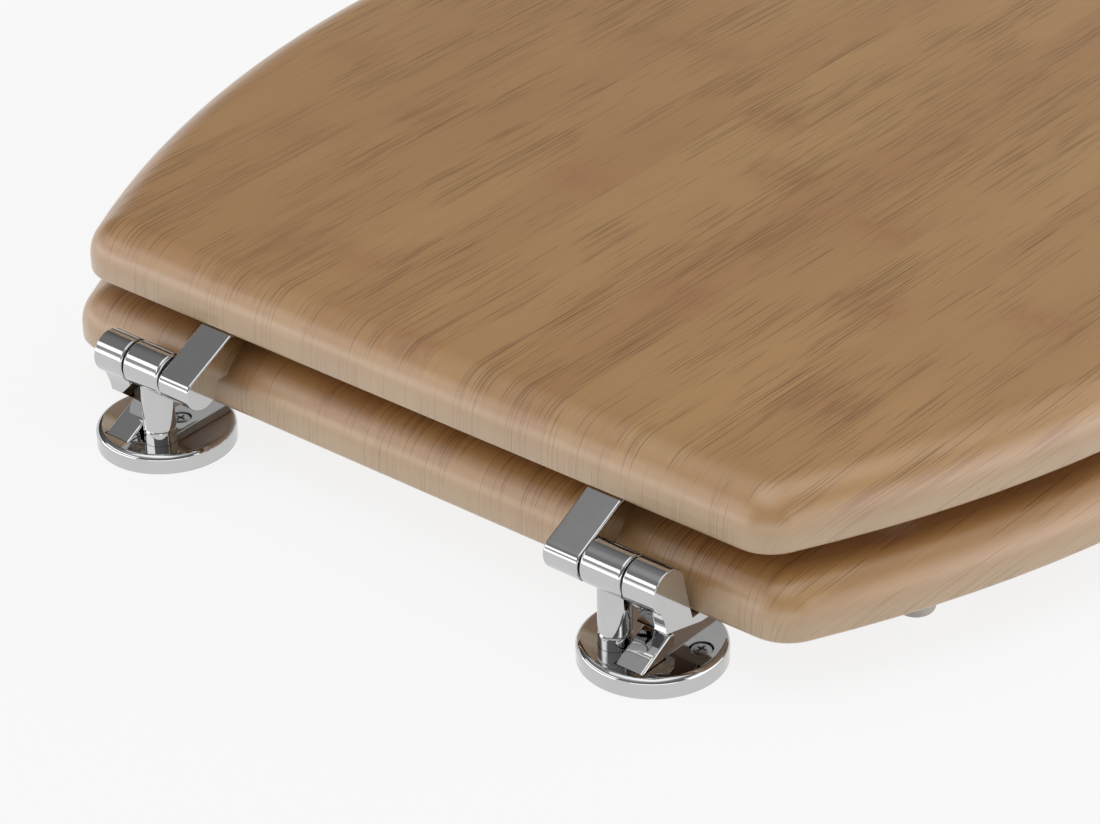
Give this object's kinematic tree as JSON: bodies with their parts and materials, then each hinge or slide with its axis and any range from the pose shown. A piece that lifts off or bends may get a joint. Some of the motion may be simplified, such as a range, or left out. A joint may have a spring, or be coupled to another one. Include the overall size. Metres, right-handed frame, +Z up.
{
  "type": "toilet seat",
  "caption": "Oval toilet seat and lid of moulded wood with a bamboo-effect finish, on chrome lift-off hinges with round base discs",
  "frame": {"origin": "midway between the two pan fixings, on the pan's surface", "axes": "+X to the right seen from behind, along the hinge line; +Y to the front of the seat; +Z up"},
  "size_m": [0.3764, 0.4435, 0.0605],
  "materials": {
    "lid_wood": "satin bamboo effect",
    "seat_wood": "satin bamboo effect",
    "chrome": "polished",
    "plain_steel": "plain",
    "black_nylon": "matte",
    "soft_grey": "matte"
  },
  "bodies": {
    "seat": {"buffer_screws": "plain_steel", "left_seat_arm": "chrome", "left_seat_arm_screws": "plain_steel", "right_seat_arm": "chrome", "right_seat_arm_screws": "plain_steel", "seat_buffer_front_left": "soft_grey", "seat_buffer_front_right": "soft_grey", "seat_buffer_rear_left": "soft_grey", "seat_buffer_rear_right": "soft_grey", "seat_ring": "seat_wood"},
    "root": {"left_base": "chrome", "left_base_cover": "chrome", "left_lever_pin": "plain_steel", "left_lever_spring": "plain_steel", "right_base": "chrome", "right_base_cover": "chrome", "right_lever_pin": "plain_steel", "right_lever_spring": "plain_steel"},
    "posts": {"left_hinge_pin": "plain_steel", "left_hinge_post": "chrome", "left_spacers": "black_nylon", "right_hinge_pin": "plain_steel", "right_hinge_post": "chrome", "right_spacers": "black_nylon"},
    "lid": {"left_lid_arm": "chrome", "left_lid_arm_screws": "plain_steel", "lid": "lid_wood", "lid_bumper_front_left": "soft_grey", "lid_bumper_front_right": "soft_grey", "lid_bumper_rear_left": "soft_grey", "lid_bumper_rear_right": "soft_grey", "right_lid_arm": "chrome", "right_lid_arm_screws": "plain_steel"},
    "left_lever": {"left_release_lever": "chrome"},
    "right_lever": {"right_release_lever": "chrome"}
  },
  "joints": [
    {"name": "lift_off", "type": "slide", "parent": "root", "child": "posts", "axis": [0, 0, 1], "range_m": [0, 0.015]},
    {"name": "seat_hinge", "type": "hinge", "parent": "posts", "child": "seat", "pos_m": [0, -0.0086, 0.0306], "axis": [1, 0, 0], "range_deg": [0, 92]},
    {"name": "lid_hinge", "type": "hinge", "parent": "seat", "child": "lid", "pos_m": [0, -0.0086, 0.0306], "axis": [1, 0, 0], "range_deg": [0, 93]},
    {"name": "left_release", "type": "hinge", "parent": "root", "child": "left_lever", "pos_m": [-0.1, -0.014, 0.0028], "axis": [-1, 0, 0], "range_deg": [0, 10], "stiffness_Nm_per_rad": 0.3, "deforming": ["left_lever_spring"]},
    {"name": "right_release", "type": "hinge", "parent": "root", "child": "right_lever", "pos_m": [0.1, -0.014, 0.0028], "axis": [-1, 0, 0], "range_deg": [0, 10], "stiffness_Nm_per_rad": 0.3, "deforming": ["right_lever_spring"]}
  ]
}
